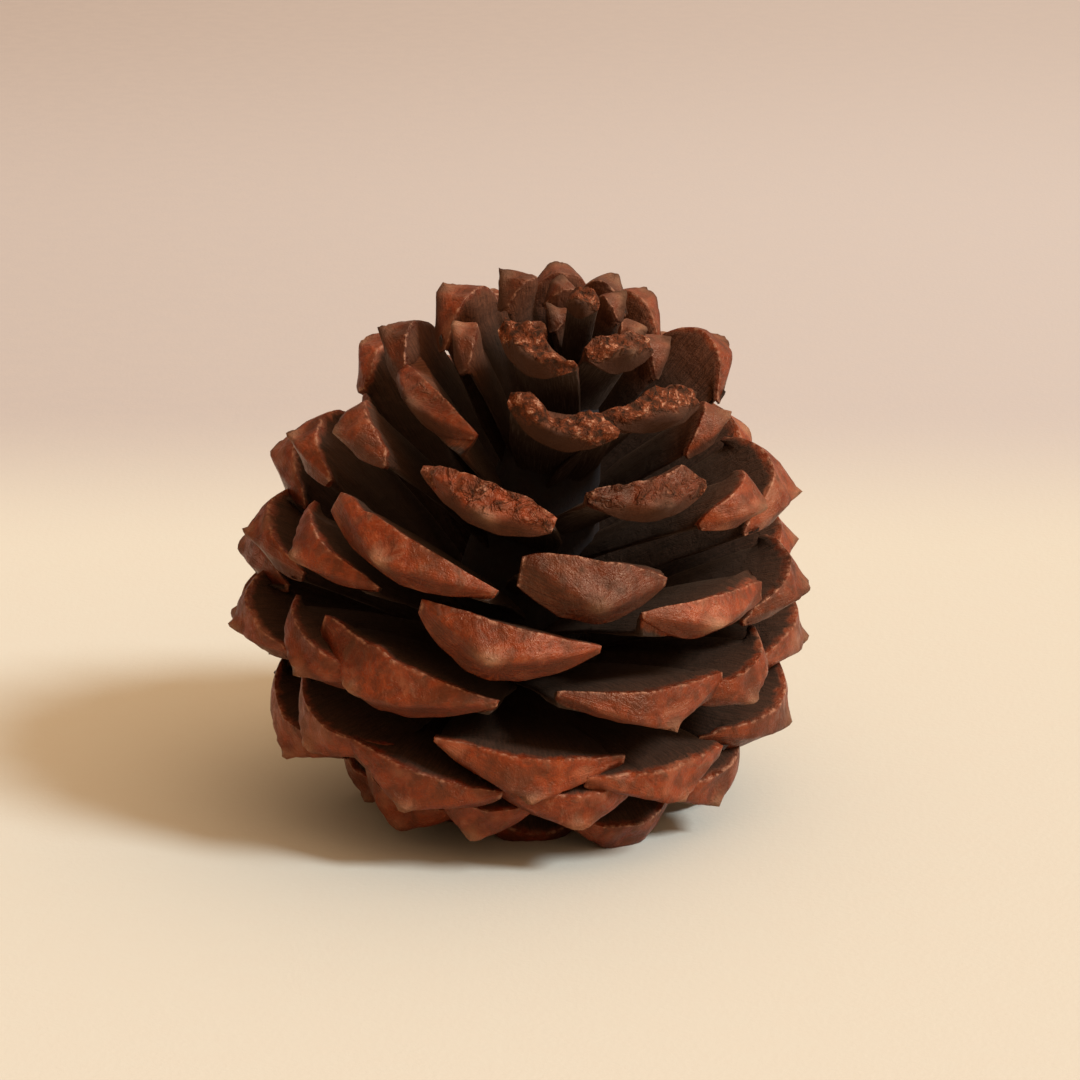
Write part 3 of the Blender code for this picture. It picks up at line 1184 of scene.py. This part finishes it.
def tongue_colour(tree, seen, colours):
    """Tongue: charcoal underneath, near black on top as painted shade, and brown near its front as
    painted light.
    """
    fibres, upper_side = seen["fibres"], seen["upper_side"]
    # Painted shade on the upper side
    painted_shade_top = stain(tree, fibres, 0.35, 0.65, 1.0, DARK_PAINTED_SHADE_TOP, PALE_PAINTED_SHADE_TOP)
    coal = stain(tree, fibres, 0.45, 0.75, 1.0, colour(colours.charcoal), PALE_COAL)
    tongue = tinge(tree, upper_side, coal, painted_shade_top)
    # Painted light: brown near the front of the upper side, stronger on the crown
    front = times(tree, upper_side, grade(tree, seen["way_back"], 0.08, 0.34, 1.0, 0.0))
    front = times(tree, front, grade(tree, seen["crown"], 0.25, 0.75, 0.15, 1.0))
    brown = stain(tree, fibres, 0.35, 0.65, 1.0, DARK_PAINTED_LIT_FRONT, PALE_PAINTED_LIT_FRONT)
    return tinge(tree, front, tongue, brown)


def scale_material(colours):
    """Dry wood of a seed scale: polished red-brown end, charcoal tongue, crumbled crown tips."""
    material, tree, shader = new_material("scale_wood")
    seen = scale_patterns(tree)
    patchy, mottle = seen["patchy"], seen["mottle"]

    # Shares of cork and of tongue, both with a ragged border
    ragged_cork = plus(tree, seen["cork"], times(tree, patchy, 1.1))
    cork_share = grade(tree, ragged_cork, 1.02, 1.40)
    tatter = times(tree, reckon(tree, "SUBTRACT", patchy, 0.5), 0.10)
    end_reach = grade(tree, seen["upper_side"], 0.0, 1.0, 0.05, 0.012)
    past_end = reckon(tree, "SUBTRACT", plus(tree, seen["way_back"], tatter), end_reach)
    back_share = grade(tree, past_end, -0.01, 0.035)

    # Colour
    wood = tinge(tree, seen["charred"], end_colour(tree, seen, colours), CHARRED)
    wood = tinge(tree, cork_share, wood, cork_colour(tree, seen, colours))
    surface = tinge(tree, back_share, wood, tongue_colour(tree, seen, colours))
    tree.links.new(surface, shader.inputs["Base Color"])
    shader.inputs["Specular IOR Level"].default_value = WOOD_SPECULAR
    shader.inputs["Specular Tint"].default_value = WOOD_SHEEN

    # Gloss of the ends, dull tongue and cork
    gloss = grade(tree, mottle, 0.35, 0.65, 0.50, 0.32)
    gloss = plus(tree, gloss, times(tree, seen["weathered"], 0.12))
    dull = reckon(tree, "MAXIMUM", back_share, cork_share)
    dull = reckon(tree, "MAXIMUM", dull, seen["charred"])
    rough = put(tree, "ShaderNodeMix", data_type="FLOAT", in_0=dull, in_2=gloss, in_3=DULL)
    tree.links.new(rough.outputs[0], shader.inputs["Roughness"])

    # Relief: fibres and specks, then weathered patches, then crumbs where it is cork
    patches = plus(tree, patchy, times(tree, mottle, 0.45))
    crumbled = times(tree, seen["crumb_height"], cork_share)
    normal = relief(tree, seen["grain_height"], 0.8, 0.2 * MM)
    normal = relief(tree, patches, 0.6, 0.4 * MM, normal)
    normal = relief(tree, crumbled, 1.0, 1.0 * MM, normal)
    tree.links.new(normal, shader.inputs["Normal"])
    return material


def axis_material(colours):
    """Dark dry wood of the axis."""
    material, tree, shader = new_material("axis_wood")
    spot = in_millimetres(tree)
    grain = put(
        tree,
        "ShaderNodeGroup",
        node_tree=wood_grain_group(),
        in_Spot=spot,
        in_Fibre_Way=spot,
    )
    patchy = clouds(tree, spot, 0.7, 4.0, 0.6)
    wood = stain(tree, patchy, 0.4, 0.62, 1.0, colour(colours.charcoal), AXIS_BROWN)
    wood = tinge(tree, times(tree, grain.outputs["Specks"], 0.5), wood, AXIS_SPECK)
    tree.links.new(wood, shader.inputs["Base Color"])
    tree.links.new(grade(tree, patchy, 0.3, 0.7, 0.7, 0.9), shader.inputs["Roughness"])
    normal = relief(tree, grain.outputs["Height"], 0.7, 0.3 * MM)
    tree.links.new(normal, shader.inputs["Normal"])
    return material


def surface_material(look):
    """Pale matt surface that turns greyer behind the cone, with painted shade darkening it far
    back and to the left.
    """
    material, tree, shader = new_material("pale_surface")
    place = put(tree, "ShaderNodeTexCoord").outputs["Object"]
    metres = put(tree, "ShaderNodeSeparateXYZ", in_Vector=place)
    spot = in_millimetres(tree)
    behind = grade(tree, metres.outputs["Y"], 0.080, 0.150)
    leftward = grade(tree, metres.outputs["X"], 0.10, -0.13)
    further = grade(tree, metres.outputs["Y"], 0.24, 0.46)
    # Painted shade: darker far back and to the left
    painted_shade_share = plus(tree, times(tree, leftward, 0.5), times(tree, further, 0.5))
    far = colour(look.far_colour)
    painted_shade_far = tuple(part * share for part, share in zip(far, PAINTED_SHADE_DIMMING))
    paint = tinge(tree, behind, colour(look.near_colour), tinge(tree, painted_shade_share, far, painted_shade_far))
    mottle = clouds(tree, spot, 0.35, 3.0, 0.5)
    paint = stain(tree, mottle, 0.35, 0.65, 0.05, paint, SURFACE_MOTTLE)
    tree.links.new(paint, shader.inputs["Base Color"])
    shader.inputs["Roughness"].default_value = SURFACE_ROUGHNESS
    shader.inputs["Specular IOR Level"].default_value = SURFACE_SPECULAR
    normal = relief(tree, clouds(tree, spot, 1.5), 0.15, 0.2 * MM)
    tree.links.new(normal, shader.inputs["Normal"])
    return material


def lay_surface(look):
    """Wide pale surface under the cone."""
    bm = bmesh.new()
    bmesh.ops.create_grid(bm, x_segments=2, y_segments=2, size=SURFACE_HALF)
    mesh = bpy.data.meshes.new("surface")
    bm.to_mesh(mesh)
    bm.free()
    mesh.materials.append(surface_material(look))
    surface = bpy.data.objects.new("surface", mesh)
    bpy.context.scene.collection.objects.link(surface)


def light_up(look):
    """Soft key light from the right and a little in front, and even light from all round."""
    scene = bpy.context.scene
    key = bpy.data.lights.new("key", "SUN")
    key.energy = look.key_strength
    key.angle = KEY_SOFTNESS
    key.color = KEY_COLOUR
    lamp = bpy.data.objects.new("key", key)
    way = Vector((math.cos(KEY_HEADING), math.sin(KEY_HEADING), math.tan(KEY_HEIGHT)))
    lamp.rotation_euler = way.to_track_quat("Z", "Y").to_euler()
    scene.collection.objects.link(lamp)

    # Sky: brighter above than below, and to the right than to the left
    world = bpy.data.worlds.new("studio")
    world.use_nodes = True
    sky = world.node_tree
    glow = sky.nodes["Background"]
    glow.inputs["Strength"].default_value = look.fill_strength
    way = put(sky, "ShaderNodeTexCoord").outputs["Generated"]
    parts = put(sky, "ShaderNodeSeparateXYZ", in_Vector=way)
    by_height = tinge(sky, grade(sky, parts.outputs["Z"], -0.1, 1.0), SKY_BELOW, SKY_ABOVE)
    by_side = tinge(sky, grade(sky, parts.outputs["X"], -0.8, 0.8), SKY_LEFT, SKY_RIGHT)
    sky.links.new(tinge(sky, 1.0, by_height, by_side, "MULTIPLY"), glow.inputs["Color"])
    scene.world = world
    scene.view_settings.view_transform = "Standard"
    scene.view_settings.look = "None"


def place_camera(look):
    """Camera in front of the cone, looking a little down on it."""
    scene = bpy.context.scene
    camera = bpy.data.cameras.new("camera")
    camera.lens = look.lens
    camera.sensor_width = SENSOR_WIDTH
    camera.clip_start = CLIP_START
    lift = look.elevation
    toward = Vector((0.0, -math.cos(lift), math.sin(lift)))
    up = Vector((0.0, math.sin(lift), math.cos(lift)))
    spot = MIDDLE + toward * look.distance
    aim = MIDDLE + Vector((AIM_ACROSS * MM, 0.0, 0.0)) - up * AIM_DOWN * MM
    back = (spot - aim).normalized()
    side = Vector((0.0, 0.0, 1.0)).cross(back).normalized()
    turn = Matrix((side, back.cross(side), back)).transposed()
    stand = bpy.data.objects.new("camera", camera)
    stand.matrix_world = Matrix.Translation(spot) @ turn.to_4x4()
    scene.collection.objects.link(stand)
    scene.camera = stand


def build_stage(look):
    """Pale surface, one soft key light with an even fill, and the camera."""
    lay_surface(look)
    light_up(look)
    place_camera(look)


def wood_of_scales():
    """The one material that every run of scales shares."""
    found = bpy.data.materials.get("scale_wood")
    return found or scale_material(bpy.context.scene.cone_colours)


class CONE_OT_lower_scales(bpy.types.Operator):
    """Build the scales from the base up to the widest turn"""

    bl_idname = "cone.lower_scales"
    bl_label = "Lower scales"

    def execute(self, context):
        sizes = context.scene.cone_sizes
        build_scales("lower_scales", FIRST_SCALE, LAST_LOWER, sizes, wood_of_scales())
        return {"FINISHED"}


class CONE_OT_middle_scales(bpy.types.Operator):
    """Build the wide keeled scales round the middle"""

    bl_idname = "cone.middle_scales"
    bl_label = "Middle scales"

    def execute(self, context):
        sizes = context.scene.cone_sizes
        build_scales("middle_scales", LAST_LOWER + 1, LAST_MIDDLE, sizes, wood_of_scales())
        return {"FINISHED"}


class CONE_OT_crown_scales(bpy.types.Operator):
    """Build the narrow, worn scales of the crown"""

    bl_idname = "cone.crown_scales"
    bl_label = "Crown scales"

    def execute(self, context):
        sizes = context.scene.cone_sizes
        build_scales("crown_scales", LAST_MIDDLE + 1, LAST_SCALE, sizes, wood_of_scales())
        return {"FINISHED"}


class CONE_OT_axis(bpy.types.Operator):
    """Build the woody axis that the scales grow from"""

    bl_idname = "cone.axis"
    bl_label = "Woody axis"

    def execute(self, context):
        build_axis(axis_material(context.scene.cone_colours))
        return {"FINISHED"}


class CONE_OT_stage(bpy.types.Operator):
    """Set out the pale surface, the light and the camera"""

    bl_idname = "cone.stage"
    bl_label = "Surface, light and camera"

    def execute(self, context):
        build_stage(context.scene.stage_look)
        return {"FINISHED"}


OPERATORS = (
    CONE_OT_lower_scales,
    CONE_OT_middle_scales,
    CONE_OT_crown_scales,
    CONE_OT_axis,
    CONE_OT_stage,
)


class VIEW3D_PT_cone(bpy.types.Panel):
    """Pine cone tools"""

    bl_label = "Pine cone"
    bl_space_type = "VIEW_3D"
    bl_region_type = "UI"
    bl_category = "Pine cone"

    def draw(self, context):
        layout = self.layout
        for operator in OPERATORS:
            layout.operator(operator.bl_idname)
        scene = context.scene
        for group in (scene.cone_sizes, scene.cone_colours, scene.stage_look):
            column = layout.column()
            for name in group.bl_rna.properties.keys():
                if name not in ("rna_type", "name"):
                    column.prop(group, name)


CLASSES = (ConeSizes, ConeColours, StageLook) + OPERATORS + (VIEW3D_PT_cone,)


def register():
    for item in CLASSES:
        bpy.utils.register_class(item)
    bpy.types.Scene.cone_sizes = bpy.props.PointerProperty(type=ConeSizes)
    bpy.types.Scene.cone_colours = bpy.props.PointerProperty(type=ConeColours)
    bpy.types.Scene.stage_look = bpy.props.PointerProperty(type=StageLook)


def unregister():
    del bpy.types.Scene.stage_look
    del bpy.types.Scene.cone_colours
    del bpy.types.Scene.cone_sizes
    for item in reversed(CLASSES):
        bpy.utils.unregister_class(item)


def main():
    """Build every piece in order."""
    register()
    bpy.ops.cone.stage()
    bpy.ops.cone.axis()
    bpy.ops.cone.lower_scales()
    bpy.ops.cone.middle_scales()
    bpy.ops.cone.crown_scales()


if __name__ == "__main__":
    main()
